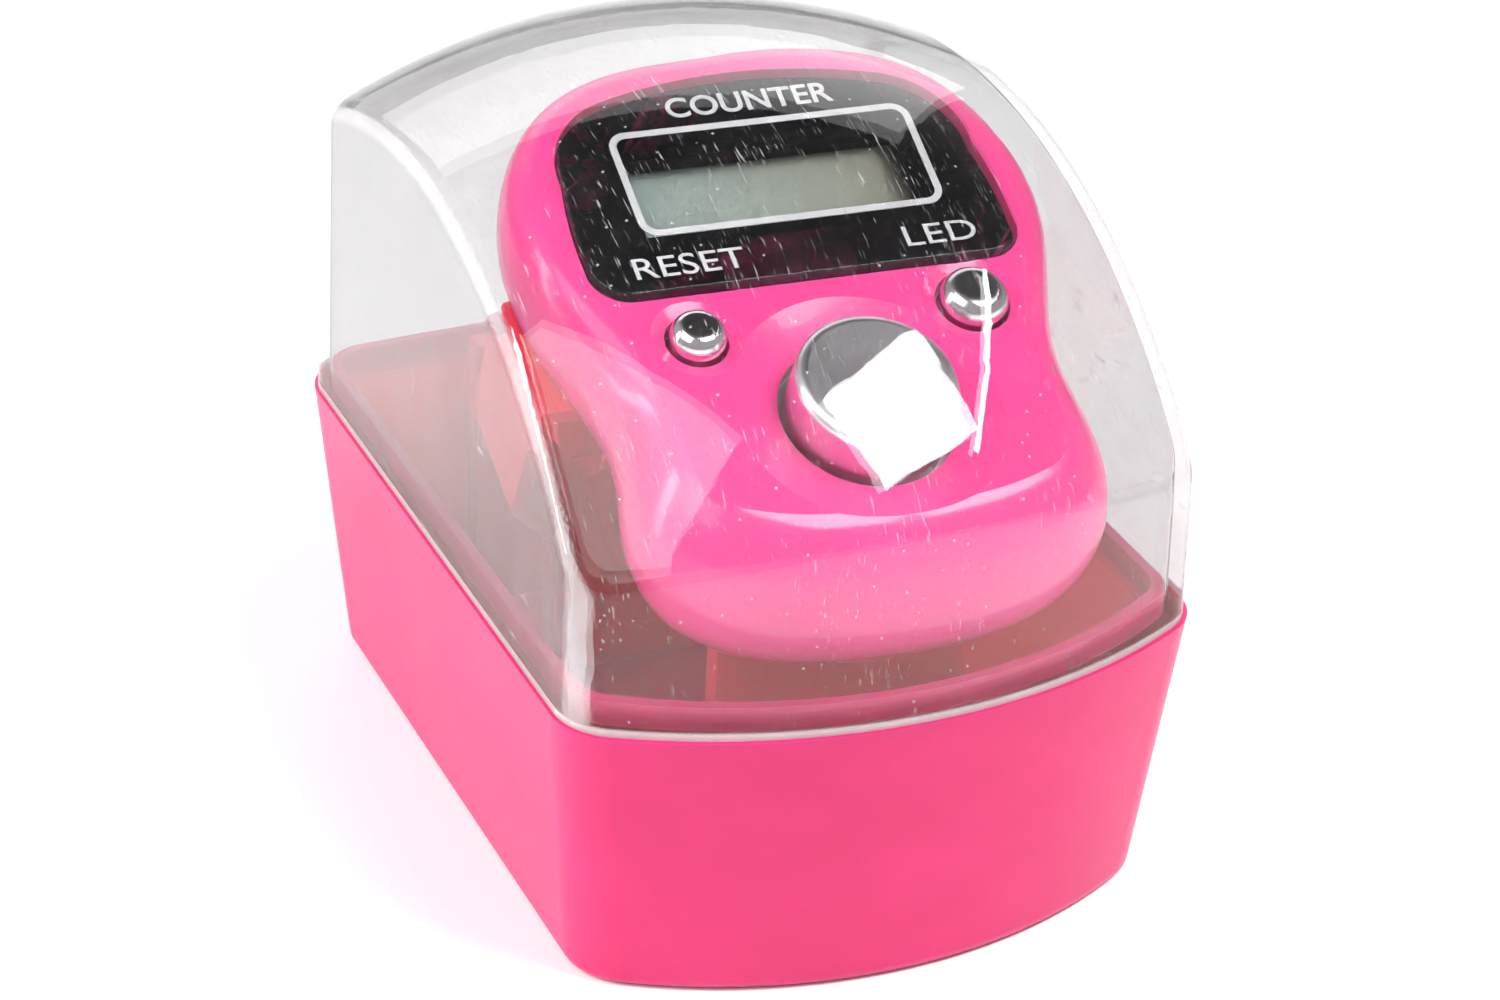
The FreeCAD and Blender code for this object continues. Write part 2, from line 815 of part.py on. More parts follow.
def make_battery():
    """Button cell, the moulded ring round it, its two contacts and the coin-slot door."""
    low, high, door_inner = cell_levels()
    cell_y = size("cell_y")
    radius = size("cell_radius")
    cell = rod(radius, low, high, 0, cell_y)
    rims = [edge for edge in cell.Edges if edge.BoundBox.ZLength < SMALL and edge.Length > 1]
    solid_feature("button_cell", cell.makeFillet(size("cell_round"), rims), True)
    board_under = size("board_level") - size("board_thick")
    thick = size("contact_thick")
    half = size("contact_width") / 2
    reach = size("contact_reach")
    top_leaf = slab((-half, cell_y - reach, high), (half, cell_y + reach, high + thick))
    post = slab((-half, cell_y + reach, high), (half, cell_y + reach + thick, board_under))
    solid_feature("contact_minus", top_leaf.fuse(post), True)
    fit = size("ring_fit")
    ring_in = radius + fit
    side = slab((ring_in, cell_y - half, low + 2 * thick), (ring_in + thick, cell_y + half, board_under))
    solid_feature("contact_plus", side, True)
    ring_out = ring_in + size("ring_wall")
    ring = rod(ring_out, low + 3 * thick, high - thick, 0, cell_y).cut(rod(ring_in, low, high, 0, cell_y))
    ring = ring.cut(slab((0, cell_y - half - fit, low), (2 * ring_out, cell_y + half + fit, high)))
    ring = ring.common(inner_pebble())
    solid_feature("battery_ring", ring, True)
    outside = size("under_level") + size("door_recess")
    door = rod(size("door_radius"), outside, door_inner, 0, cell_y)
    half_slot = size("coin_slot_width") / 2
    reach = size("coin_slot_half")
    coin_slot = slab(
        (-reach, cell_y - half_slot, outside - size("coin_slot_depth")),
        (reach, cell_y + half_slot, outside + size("coin_slot_depth")),
    )
    solid_feature("battery_door", door.cut(coin_slot), True)


def make_body_screws():
    """Two self-tapping screws that close the shells from below, one node."""
    screws = []
    for along in (size("screw_top_y"), size("screw_front")):
        seat = screw_seat()
        head = rod(size("screw_head_radius"), seat - size("screw_head_height"), seat, 0, along)
        head_face = seat - size("screw_head_height")
        half = size("drive_half")
        half_width = size("drive_width") / 2
        recess = slab(
            (-half, along - half_width, head_face - size("drive_depth")),
            (half, along + half_width, head_face + size("drive_depth")),
        )
        shank = rod(size("screw_radius"), seat, screw_end(), 0, along)
        screws.append(head.cut(recess).fuse(shank))
    solid_feature("body_screws", Part.makeCompound(screws), True)


# --- strap ---


def band(side, bottom, reach):
    """Half strap: bead inside the shell, out through the slot, down and across under the bridge."""
    level = size("strap_level")
    outside = size("strap_side")
    thick = size("strap_thick")
    inner_end = size("strap_inner")
    path_points = [
        Vector(inner_end, 0, level),
        Vector(outside, 0, level),
        Vector(outside, 0, bottom + size("strap_bend_rise")),
        Vector(outside - size("strap_bend_run"), 0, bottom),
        Vector(-reach, 0, bottom),
    ]
    centre_line = Part.makePolygon(path_points)
    ribbon = centre_line.makeOffset2D(thick / 2, openResult=False, fill=True)
    start = size("strap_y") - size("strap_width") / 2
    ribbon.translate(Vector(0, start, 0))
    strap = ribbon.extrude(Vector(0, size("strap_width"), 0))
    bead_size = size("strap_bead") / 2
    bead = Part.makeCylinder(bead_size, size("strap_width"), Vector(inner_end, start, level), Vector(0, 1, 0))
    strap = strap.fuse(bead).removeSplitter()
    if side < 0:
        strap = strap.mirror(Vector(0, 0, 0), Vector(1, 0, 0))
    return strap


def make_straps():
    """Left half with the row of holes over the right half with the peg."""
    thick = size("strap_thick")
    upper = size("strap_bottom")
    lower = upper - thick - size("strap_gap")
    pitch = size("peg_pitch")
    overlap = size("strap_overlap")
    left = band(-1, upper, overlap)
    hole_radius = size("peg_radius") + size("stem_gap")
    for step in (-1, 0, 1):
        hole = rod(hole_radius, upper - thick, upper + thick, step * pitch, size("strap_y"))
        left = left.cut(hole)
    solid_feature("strap_left", left, True)
    solid_feature("strap_right", band(1, lower, overlap), True)
    low = lower + thick / 2
    neck_top = upper + thick / 2 + size("strap_gap")
    peg = rod(size("peg_radius"), low, neck_top, 0, size("strap_y"))
    head_radius = size("peg_radius") + size("peg_head_margin")
    head = rod(head_radius, neck_top, neck_top + size("peg_head_height"), 0, size("strap_y"))
    solid_feature("strap_peg", peg.fuse(head), True)


def check_document():
    """Stop before anything is written if a feature failed or a shape is not sound."""
    document.recompute()
    for feature in document.Objects:
        if {"Invalid", "Error"} & set(feature.State):
            raise RuntimeError(f"{feature.Name}: {feature.State}")
    for subpart in nodes:
        if subpart.Shape.isNull() or not subpart.Shape.isValid() or subpart.Shape.Volume <= 0:
            raise RuntimeError(f"{subpart.Label}: shape is not sound")


def main():
    make_base_tray()
    make_clear_cover()
    make_strap_bridge()
    make_back_stop()
    make_upper_shell()
    make_lower_shell()
    make_lens()
    make_lens_mask()
    make_display()
    make_circuit_board()
    make_board_parts()
    make_buttons()
    make_battery()
    make_body_screws()
    make_straps()
    check_document()
    os.makedirs("parts", exist_ok=True)
    for subpart in nodes:
        subpart.Shape.exportStep(os.path.join("parts", subpart.Label + ".step"))
        print(subpart.Label, round(subpart.Shape.Volume, 2), len(subpart.Shape.Solids))


main()
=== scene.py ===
"""Looks of a hand tally counter strapped in its clear-topped presentation case."""

import json
import logging
import math
from dataclasses import dataclass, field
from enum import Enum
from typing import Sequence

import bpy
from mathutils import Matrix, Vector


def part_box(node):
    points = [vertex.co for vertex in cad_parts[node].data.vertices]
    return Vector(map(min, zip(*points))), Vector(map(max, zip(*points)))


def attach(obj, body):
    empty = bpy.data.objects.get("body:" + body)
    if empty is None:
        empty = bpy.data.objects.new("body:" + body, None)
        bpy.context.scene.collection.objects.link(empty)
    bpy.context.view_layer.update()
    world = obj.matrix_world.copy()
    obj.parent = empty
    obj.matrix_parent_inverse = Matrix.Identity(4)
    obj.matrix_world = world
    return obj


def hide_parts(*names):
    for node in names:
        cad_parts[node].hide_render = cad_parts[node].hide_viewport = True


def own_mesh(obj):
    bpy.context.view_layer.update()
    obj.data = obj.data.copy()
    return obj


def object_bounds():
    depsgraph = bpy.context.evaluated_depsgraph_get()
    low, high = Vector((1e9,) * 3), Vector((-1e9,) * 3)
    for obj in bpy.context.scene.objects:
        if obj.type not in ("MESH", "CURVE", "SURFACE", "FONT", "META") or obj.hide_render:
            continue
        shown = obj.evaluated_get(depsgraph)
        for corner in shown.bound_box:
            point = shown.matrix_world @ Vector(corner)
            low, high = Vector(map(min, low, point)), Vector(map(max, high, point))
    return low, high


logging.basicConfig(level=logging.INFO, format="%(message)s")
log = logging.getLogger("tally_counter")

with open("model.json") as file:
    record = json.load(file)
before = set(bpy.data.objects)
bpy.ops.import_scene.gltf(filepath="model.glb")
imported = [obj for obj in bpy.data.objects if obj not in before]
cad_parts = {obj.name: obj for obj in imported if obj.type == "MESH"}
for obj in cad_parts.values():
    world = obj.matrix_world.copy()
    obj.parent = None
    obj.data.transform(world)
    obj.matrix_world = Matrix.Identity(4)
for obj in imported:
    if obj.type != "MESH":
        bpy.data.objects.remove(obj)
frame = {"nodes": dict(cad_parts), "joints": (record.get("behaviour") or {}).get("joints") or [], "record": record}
cad_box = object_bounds()

MM = 0.001
Colour = tuple[float, float, float, float]
Band = tuple[float, float]


def tint(red: float, green: float, blue: float) -> Colour:
    """Colour with full alpha from three linear values."""
    return (red, green, blue, 1.0)


# --- shared surface effects, as node groups -------------------------------------------------


class Side(Enum):
    """Sides of an effect group that a socket can be on."""

    INLET = "INPUT"
    OUTLET = "OUTPUT"


@dataclass
class EffectGroup:
    """A shader node group under construction.

    Args:
        name: Name of the node group.
    """

    name: str
    tree: bpy.types.NodeTree = field(init=False)

    def __post_init__(self) -> None:
        """Make the empty group with its input and output nodes."""
        self.tree = bpy.data.node_groups.new(self.name, "ShaderNodeTree")
        self.inlet = self.tree.nodes.new("NodeGroupInput")
        self.outlet = self.tree.nodes.new("NodeGroupOutput")

    def number(self, name: str, side: Side, value: float = 0.0) -> None:
        """Add a numeric socket.

        Args:
            name: Name of the socket.
            side: Side of the group that it is on.
            value: Default value.
        """
        face = self.tree.interface
        socket = face.new_socket(name, in_out=side.value, socket_type="NodeSocketFloat")
        socket.default_value = value

    def take(self, name: str) -> bpy.types.NodeSocket:
        """Socket inside the group that holds one of its inputs."""
        return self.inlet.outputs[name]

    def give(self, source: bpy.types.NodeSocket, name: str) -> None:
        """Send a value to one of the group's outputs."""
        self.link(source, self.outlet.inputs[name])

    def node(self, kind: str, **settings: object) -> bpy.types.Node:
        """Add a node and set its properties.

        Args:
            kind: Blender's name of the node type.
            settings: Properties of the node.

        Returns:
            The new node.
        """
        node = self.tree.nodes.new(kind)
        for key, value in settings.items():
            setattr(node, key, value)
        return node

    def link(self, start: bpy.types.NodeSocket, end: bpy.types.NodeSocket) -> None:
        """Join two sockets."""
        self.tree.links.new(start, end)

    def position(
        self, stretch: Sequence[float] = (1.0, 1.0, 1.0), turn: float = 0.0
    ) -> bpy.types.NodeSocket:
        """Object position in millimetres, stretched and turned about the upright.

        Args:
            stretch: Scale along each axis.
            turn: Angle about Z in radians.

        Returns:
            The socket that holds the position.
        """
        place = self.node("ShaderNodeTexCoord")
        mapping = self.node("ShaderNodeMapping")
        mapping.inputs["Scale"].default_value = tuple(value / MM for value in stretch)
        mapping.inputs["Rotation"].default_value = (0.0, 0.0, turn)
        self.link(place.outputs["Object"], mapping.inputs["Vector"])
        return mapping.outputs["Vector"]

    def split(self, source: bpy.types.NodeSocket) -> bpy.types.Node:
        """Split a vector into X, Y and Z."""
        node = self.node("ShaderNodeSeparateXYZ")
        self.link(source, node.inputs[0])
        return node

    def noise(self, place: bpy.types.NodeSocket, **values: float) -> bpy.types.Node:
        """Noise at a position.

        Args:
            place: Position in millimetres.
            values: Values of the noise node's sockets.

        Returns:
            The noise node.
        """
        node = self.node("ShaderNodeTexNoise")
        for key, value in values.items():
            node.inputs[key].default_value = value
        self.link(place, node.inputs["Vector"])
        return node

    def ramp(self, source: bpy.types.NodeSocket, band: Band) -> bpy.types.NodeSocket:
        """Stretch the part of a value between two limits to 0 to 1.

        Args:
            source: Socket that gives the value.
            band: Value that becomes 0 and value that becomes 1.

        Returns:
            The clamped result.
        """
        remap = self.node("ShaderNodeMapRange", clamp=True)
        remap.inputs["From Min"].default_value, remap.inputs["From Max"].default_value = band
        self.link(source, remap.inputs["Value"])
        return remap.outputs["Result"]

    def maths(self, operation: str, *values: bpy.types.NodeSocket) -> bpy.types.NodeSocket:
        """Combine one or two values.

        Args:
            operation: Blender's name of the operation.
            values: The values.

        Returns:
            The result.
        """
        node = self.node("ShaderNodeMath", operation=operation)
        for value, socket in zip(values, node.inputs):
            self.link(value, socket)
        return node.outputs[0]


STROKES = ((0.35, (9.0, 0.35, 1.3)), (1.45, (7.0, 0.3, 2.0)), (2.4, (11.0, 0.4, 0.8)))
STROKE_BAND = (0.68, 0.74)
BREAK_SCALE = 0.35
BREAK_BAND = (0.48, 0.62)


def build_scratches() -> bpy.types.NodeTree:
    """Fine straight scratches in three directions, broken into short strokes.

    Returns:
        A group with a Scratches mask.
    """
    group = EffectGroup("fine_scratches")
    group.number("Density", Side.INLET, 0.5)
    group.number("Scratches", Side.OUTLET)
    total = None
    for turn, stretch in STROKES:
        lines = group.noise(group.position(stretch, turn), Scale=1.0, Detail=1.0)
        breaks = group.noise(group.position(turn=turn), Scale=BREAK_SCALE)
        stroke = group.maths(
            "MULTIPLY",
            group.ramp(lines.outputs["Fac"], STROKE_BAND),
            group.ramp(breaks.outputs["Fac"], BREAK_BAND),
        )
        total = stroke if total is None else group.maths("MAXIMUM", total, stroke)
    group.give(group.maths("MULTIPLY", total, group.take("Density")), "Scratches")
    return group.tree


SPECK_SCALE = 0.9
SPECK_BAND = (0.1, 0.04)
HAZE_CLOUD = {"Scale": 0.09, "Detail": 6.0, "Roughness": 0.62}
HAZE_BAND = (0.3, 0.72)


def build_dust() -> bpy.types.NodeTree:
    """Specks of dust with a thin haze between them.

    Returns:
        A group with Specks and Haze masks.
    """
    group = EffectGroup("dust_and_haze")
    for name in ("Speck Amount", "Haze Amount"):
        group.number(name, Side.INLET, 0.5)
    for name in ("Specks", "Haze"):
        group.number(name, Side.OUTLET)
    cells = group.node("ShaderNodeTexVoronoi", feature="F1")
    cells.inputs["Scale"].default_value = SPECK_SCALE
    group.link(group.position(), cells.inputs["Vector"])
    speck = group.ramp(cells.outputs["Distance"], SPECK_BAND)
    group.give(group.maths("MULTIPLY", speck, group.take("Speck Amount")), "Specks")
    cloud = group.noise(group.position(), **HAZE_CLOUD)
    haze = group.ramp(cloud.outputs["Fac"], HAZE_BAND)
    group.give(group.maths("MULTIPLY", haze, group.take("Haze Amount")), "Haze")
    return group.tree


FLOW_CLOUD = {"Scale": 0.12, "Detail": 2.0}
FLOW_STRETCH = (1.0, 0.6, 1.8)
FLOW_BAND = (0.3, 0.7)


def build_grain() -> bpy.types.NodeTree:
    """Fine grain of moulded plastic with slow flow variation.

    Returns:
        A group with the Grain height and a Flow mask.
    """
    group = EffectGroup("moulded_grain")
    group.number("Grain Scale", Side.INLET, 6.0)
    for name in ("Grain", "Flow"):
        group.number(name, Side.OUTLET)
    fine = group.noise(group.position(), Detail=3.0)
    group.link(group.take("Grain Scale"), fine.inputs["Scale"])
    group.give(fine.outputs["Fac"], "Grain")
    flow = group.noise(group.position(FLOW_STRETCH), **FLOW_CLOUD)
    group.give(group.ramp(flow.outputs["Fac"], FLOW_BAND), "Flow")
    return group.tree


# Bands of the sideways part of the surface's normal
EDGE_RISE = (0.68, 0.8)
EDGE_FALL = (0.992, 0.93)
SIDE_BAND = (0.93, 0.985)
# Bands of the position in millimetres
BACK_BAND = (3.0, 12.0)
FOOT_BAND = (0.12, -0.12)
# Patches in the painted highlight and the painted reflection.
GLARE_CLOUD = {"Scale": 0.35, "Detail": 5.0}
GLARE_BAND = (-0.2, 0.62)


def build_painted_light() -> bpy.types.NodeTree:
    """Zones of a clear moulding for painted light and shade: a painted highlight on its rounded edges,
    a whiter foot, and a painted reflection and a painted shade over its sides and back.

    Returns:
        A group with a Milk mask of the painted highlight, painted reflection and whiter foot,
        and a Thick mask of the sides and back, where the clear plastic gets painted shade.
    """
    group = EffectGroup("painted_light_zones")
    amounts = {"Edge Amount": 0.5, "Veil Amount": 0.1, "Foot Amount": 0.5, "Foot Level": 18.0}
    for name, amount in amounts.items():
        group.number(name, Side.INLET, amount)
    for name in ("Glare_And_Foot", "Shaded_Sides"):
        group.number(name, Side.OUTLET)
    surface = group.node("ShaderNodeNewGeometry")
    facing = group.split(surface.outputs["True Normal"])
    place = group.split(group.position())
    sideways = group.maths("ABSOLUTE", facing.outputs["X"])
    cloud = group.noise(group.position(), **GLARE_CLOUD)
    patchy = group.ramp(cloud.outputs["Fac"], GLARE_BAND)
    # Painted highlight: a pale band along the rounded edges.
    edge = group.maths(
        "MULTIPLY", group.ramp(sideways, EDGE_RISE), group.ramp(sideways, EDGE_FALL)
    )
    edge = group.maths("MULTIPLY", edge, patchy)
    edge = group.maths("MULTIPLY", edge, group.take("Edge Amount"))
    # Sides and back: this mask gives the clear plastic its painted shade, and scaled by the veil amount a painted
    # reflection.
    behind = group.maths(
        "MAXIMUM", group.ramp(sideways, SIDE_BAND), group.ramp(place.outputs["Y"], BACK_BAND)
    )
    group.give(behind, "Shaded_Sides")
    veil = group.maths("MULTIPLY", behind, patchy)
    veil = group.maths("MULTIPLY", veil, group.take("Veil Amount"))
    above = group.maths("SUBTRACT", place.outputs["Z"], group.take("Foot Level"))
    foot = group.maths("MULTIPLY", group.ramp(above, FOOT_BAND), group.take("Foot Amount"))
    group.give(group.maths("MAXIMUM", group.maths("MAXIMUM", edge, veil), foot), "Glare_And_Foot")
    return group.tree


WALL_BAND = (0.05, -0.05)
RIM_BAND = (0.5, -0.5)


def build_inside() -> bpy.types.NodeTree:
    """Inside of an open box that stands about the upright axis: its inner walls, which get painted bounce light.

    Returns:
        A group with an Inside mask.
    """
    group = EffectGroup("inside_of_box")
    group.number("Rim Level", Side.INLET, 17.0)
    group.number("Inside", Side.OUTLET)
    surface = group.node("ShaderNodeNewGeometry")
    flat = group.node("ShaderNodeVectorMath", operation="MULTIPLY")
    flat.inputs[1].default_value = (1.0, 1.0, 0.0)
    group.link(group.position(), flat.inputs[0])
    outward = group.node("ShaderNodeVectorMath", operation="DOT_PRODUCT")
    group.link(flat.outputs["Vector"], outward.inputs[0])
    group.link(surface.outputs["True Normal"], outward.inputs[1])
    place = group.split(group.position())
    level = group.maths("SUBTRACT", place.outputs["Z"], group.take("Rim Level"))
    inside = group.maths(
        "MULTIPLY",
        group.ramp(outward.outputs["Value"], WALL_BAND),
        group.ramp(level, RIM_BAND),
    )
    group.give(inside, "Inside")
    return group.tree


@dataclass
class Effects:
    """The shared effect groups, each built once."""

    scratches: bpy.types.NodeTree = field(default_factory=build_scratches)
    dust: bpy.types.NodeTree = field(default_factory=build_dust)
    grain: bpy.types.NodeTree = field(default_factory=build_grain)
    painted_light: bpy.types.NodeTree = field(default_factory=build_painted_light)
    inside: bpy.types.NodeTree = field(default_factory=build_inside)


# --- the counter's own frame -------------------------------------------------------------------


@dataclass(frozen=True)
class CounterFrame:
    """Where the counter lies in the case: X across, Y up the display, Z out of the lens.

    Args:
        door_level: Level of the battery door's pivot point.
        door_y: Place of the battery door up the counter.
    """

    door_level: float = -12.5 * MM
    door_y: float = -8.0 * MM

    def matrix(self) -> Matrix:
        """Matrix from the counter's frame to the row frame."""
        joints = {joint["name"]: joint for joint in frame["joints"]}
        door = joints["battery_door_turn"]
        outward = -Vector(door["axis"]).normalized()
        pivot = Vector(door["pos_m"])
        low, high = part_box("count_cap")
        upward = pivot - (low + high) / 2
        upward = (upward - outward * upward.dot(outward)).normalized()
        across = upward.cross(outward)
        origin = pivot - outward * self.door_level - upward * self.door_y
        turned = Matrix((across, upward, outward)).transposed().to_4x4()
        return Matrix.Translation(origin) @ turned


# --- finishes ---------------------------------------------------------------------------------

PLASTIC_GRAIN = 7.0
DISPLAY_GRAIN = 9.0
GRAIN_DEPTH = 0.04 * MM
DISPLAY_GRAIN_DEPTH = 0.02 * MM
SCRATCH_DEPTH = 0.03 * MM
HAZE_BLUR = 0.12
CLEAR_BLUR = 0.004
SCATTER_REACH = (5.0 * MM, 0.8 * MM, 1.5 * MM)
LIT_BAND = (-9.0, 8.0)


# Colour sockets of the mix node
MIX_LOW, MIX_HIGH, MIX_RESULT = 6, 7, 2


class Canvas:
    """A material being built: its Principled shader and short ways to add nodes."""

    def __init__(self, name: str) -> None:
        """Make a material with one Principled shader.

        Args:
            name: Name of the material.
        """
        self.material = bpy.data.materials.new(name)
        self.material.use_nodes = True
        self.nodes = self.material.node_tree.nodes
        self.links = self.material.node_tree.links
        self.shader = next(node for node in self.nodes if node.type == "BSDF_PRINCIPLED")

    def set(self, **values: object) -> None:
        """Set sockets of the shader; underscores in a name stand for spaces."""
        for key, value in values.items():
            self.shader.inputs[key.replace("_", " ")].default_value = value

    def effect(self, tree: bpy.types.NodeTree, **values: float) -> bpy.types.Node:
        """Place a shared effect group.

        Args:
            tree: The group.
            values: Input values; underscores in a name stand for spaces.

        Returns:
            The group node.
        """
        node = self.nodes.new("ShaderNodeGroup")
        node.node_tree = tree
        for key, value in values.items():
            node.inputs[key.replace("_", " ")].default_value = value
        return node

    def blend(
        self, mask: bpy.types.NodeSocket, low: Colour | bpy.types.NodeSocket, high: Colour
    ) -> bpy.types.NodeSocket:
        """Mix two colours by a mask.

        Args:
            mask: Value from 0 to 1.
            low: Colour at 0, or a socket that gives it.
            high: Colour at 1.

        Returns:
            The mixed colour.
        """
        mix = self.nodes.new("ShaderNodeMix")
        mix.data_type = "RGBA"
        if isinstance(low, tuple):
            mix.inputs[MIX_LOW].default_value = low
        else:
            self.links.new(low, mix.inputs[MIX_LOW])
        mix.inputs[MIX_HIGH].default_value = high
        self.links.new(mask, mix.inputs[0])
        return mix.outputs[MIX_RESULT]

    def remap(self, source: bpy.types.NodeSocket, ends: str, band: Band) -> bpy.types.NodeSocket:
        """Map a value to or from a band.

        Args:
            source: The value.
            ends: "From" to stretch the band to 0 to 1, "To" to map 0 to 1 to the band.
            band: The two ends of the band.

        Returns:
            The result.
        """
        remap = self.nodes.new("ShaderNodeMapRange")
        for key, value in zip((f"{ends} Min", f"{ends} Max"), band):
            remap.inputs[key].default_value = value
        self.links.new(source, remap.inputs["Value"])
        return remap.outputs["Result"]

    def roughen(self, mask: bpy.types.NodeSocket, clean: float, extra: float) -> None:
        """Set the roughness, with some more where a mask says.

        Args:
            mask: Value from 0 to 1.
            clean: Roughness at 0.
            extra: What is added at 1.
        """
        self.drive("Roughness", self.remap(mask, "To", (clean, clean + extra)))

    def greater(self, *masks: bpy.types.NodeSocket) -> bpy.types.NodeSocket:
        """Greater of two masks."""
        node = self.nodes.new("ShaderNodeMath")
        node.operation = "MAXIMUM"
        for mask, socket in zip(masks, node.inputs):
            self.links.new(mask, socket)
        return node.outputs[0]

    def drive(self, socket: str, source: bpy.types.NodeSocket) -> None:
        """Feed one socket of the shader."""
        self.links.new(source, self.shader.inputs[socket])

    def bump(self, height: bpy.types.NodeSocket, strength: float, depth: float) -> None:
        """Bump the surface by a height.

        Args:
            height: Height from 0 to 1.
            strength: Strength of the bump.
            depth: Height in metres that 1 stands for.
        """
        node = self.nodes.new("ShaderNodeBump")
        node.inputs["Strength"].default_value = strength
        node.inputs["Distance"].default_value = depth
        self.links.new(height, node.inputs["Height"])
        self.links.new(node.outputs["Normal"], self.shader.inputs["Normal"])


@dataclass(frozen=True)
class MouldedPlastic:
    """Coloured moulded plastic, from satin to high gloss.

    Args:
        name: Name of the finish.
        deep: Colour in the thick parts.
        light: Colour in the light parts.
        roughness: Roughness of the clean surface.
        coat: Weight of the clear coat.
        grain: Strength of the moulded grain.
        scatter: Weight of the light that passes under the skin.
        sheen: Weight of the pale sheen at grazing angles.
        bend: Index of refraction, which sets how much the surface reflects.
        inner: Painted bounce light: a brighter colour on the inner walls of a box, standing for light that goes
            from wall to wall.
    """

    name: str
    deep: Colour
    light: Colour
    roughness: float
    coat: float = 0.0
    grain: float = 0.1
    scatter: float = 0.1
    sheen: float = 0.0
    bend: float = 1.5
    inner: Colour | None = None

    def build(self, effects: Effects) -> bpy.types.Material:
        """Make the material from the shared effects."""
        canvas = Canvas(self.name)
        grain = canvas.effect(effects.grain, Grain_Scale=PLASTIC_GRAIN)
        dust = canvas.effect(effects.dust, Speck_Amount=0.5, Haze_Amount=0.6)
        colour = canvas.blend(grain.outputs["Flow"], self.deep, self.light)
        # Painted bounce light: the inner walls get the brighter inner colour.
        if self.inner:
            inside = canvas.effect(effects.inside)
            colour = canvas.blend(inside.outputs["Inside"], colour, self.inner)
        canvas.drive("Base Color", colour)
        canvas.roughen(dust.outputs["Haze"], self.roughness, HAZE_BLUR)
        canvas.bump(grain.outputs["Grain"], self.grain, GRAIN_DEPTH)
        canvas.set(Subsurface_Weight=self.scatter, Subsurface_Radius=SCATTER_REACH)
        canvas.set(Subsurface_Scale=1.0, IOR=self.bend)
        canvas.set(Coat_Weight=self.coat, Coat_Roughness=0.04)
        canvas.set(Sheen_Weight=self.sheen, Sheen_Roughness=0.35)
        return canvas.material


@dataclass(frozen=True)
class ClearPlastic:
    """Clear moulded plastic with scratches, dust, a hazy blur, and painted shade that greys its sides and back.

    Args:
        name: Name of the finish.
        colour: Colour of the light that passes.
        side_shade: Painted shade: colour of the light that passes through the sides and the back.
        roughness: Roughness of the clean surface.
        scratches: Density of the scratches.
        haze: Amount of haze.
        bend: Index of refraction of the thin wall.
    """

    name: str
    colour: Colour
    side_shade: Colour
    roughness: float
    scratches: float
    haze: float
    bend: float

    def build(self, effects: Effects) -> bpy.types.Material:
        """Make the material from the shared effects."""
        canvas = Canvas(self.name)
        lines = canvas.effect(effects.scratches, Density=self.scratches)
        dust = canvas.effect(effects.dust, Speck_Amount=0.6, Haze_Amount=self.haze)
        canvas.set(IOR=self.bend, Transmission_Weight=1.0)
        canvas.set(Coat_Weight=0.8, Coat_IOR=1.49, Coat_Roughness=0.02)
        canvas.roughen(dust.outputs["Haze"], self.roughness, CLEAR_BLUR)
        zones = canvas.effect(effects.painted_light)
        # Painted shade: the sides and back get the greyer colour.
        canvas.drive("Base Color", canvas.blend(zones.outputs["Shaded_Sides"], self.colour, self.side_shade))
        canvas.bump(lines.outputs["Scratches"], 0.2, SCRATCH_DEPTH)
        return canvas.material


@dataclass(frozen=True)
class DustAndGlareFilm:
    """Dust, scratches and painted light on the outside of clear plastic: a painted highlight on the rounded edges,
    a painted reflection over the sides and back, and a whiter foot.

    Args:
        name: Name of the finish.
        colour: Colour of the dust, the scratches and the painted light.
        edge: Strength of the painted highlight on the rounded edges.
        veil: Strength of the painted reflection over the sides and back.
        foot: How white the foot is.
        foot_level: Level in millimetres below which the foot is whiter.
    """

    name: str
    colour: Colour
    edge: float
    veil: float
    foot: float
    foot_level: float

    def build(self, effects: Effects) -> bpy.types.Material:
        """Make the material from the shared effects."""
        canvas = Canvas(self.name)
        canvas.set(Base_Color=self.colour, Roughness=0.45, IOR=1.3)
        zones = canvas.effect(effects.painted_light, Edge_Amount=self.edge, Veil_Amount=self.veil)
        zones.inputs["Foot Amount"].default_value = self.foot
        zones.inputs["Foot Level"].default_value = self.foot_level
        lines = canvas.effect(effects.scratches, Density=0.16)
        dust = canvas.effect(effects.dust, Speck_Amount=0.2, Haze_Amount=0.006)
        marks = canvas.greater(lines.outputs["Scratches"], dust.outputs["Specks"])
        # The Milk mask holds the painted highlight on the rounded edges, the painted reflection over the sides and
        # back, and the whiter foot.
        cover = canvas.greater(zones.outputs["Glare_And_Foot"], dust.outputs["Haze"])
        canvas.drive("Alpha", canvas.greater(marks, cover))
        return canvas.material


